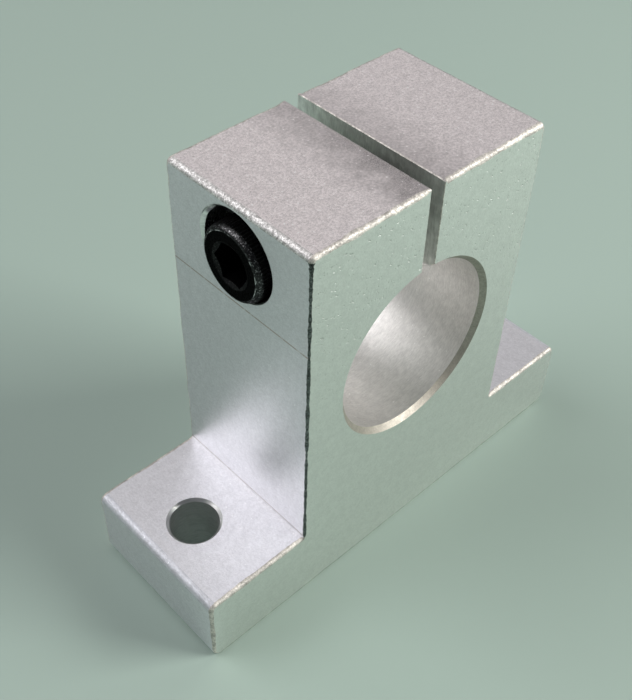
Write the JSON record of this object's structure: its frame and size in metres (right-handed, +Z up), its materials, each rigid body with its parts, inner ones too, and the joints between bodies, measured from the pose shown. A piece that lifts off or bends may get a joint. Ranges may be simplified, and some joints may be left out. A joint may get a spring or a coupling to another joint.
{
  "type": "shaft support block",
  "caption": "T-shaped aluminium clamp block that holds the end of a round shaft: bored, sawn through to the bore, closed by a recessed cap screw, with a bolt-down foot each side.",
  "frame": {"origin": "middle of the mounting face, under the bore, half way along the shaft direction", "axes": "+X runs along the foot from one mounting hole to the other, away from the screw's head; +Y runs along the shaft; +Z points up from the mounting face"},
  "size_m": [0.07, 0.024, 0.06],
  "materials": {
    "aluminium": "bare aluminium extrusion, satin, with machined end faces and bore",
    "black_steel": "black oxide on alloy steel, satin, knurled head"
  },
  "bodies": {
    "block": {"support_block": "aluminium"},
    "screw": {"clamp_screw": "black_steel"}
  },
  "joints": [
    {"name": "clamp_screw_travel", "type": "slide", "parent": "block", "child": "screw", "axis": [-1, 0, 0], "range_m": [0, 0.01]}
  ]
}
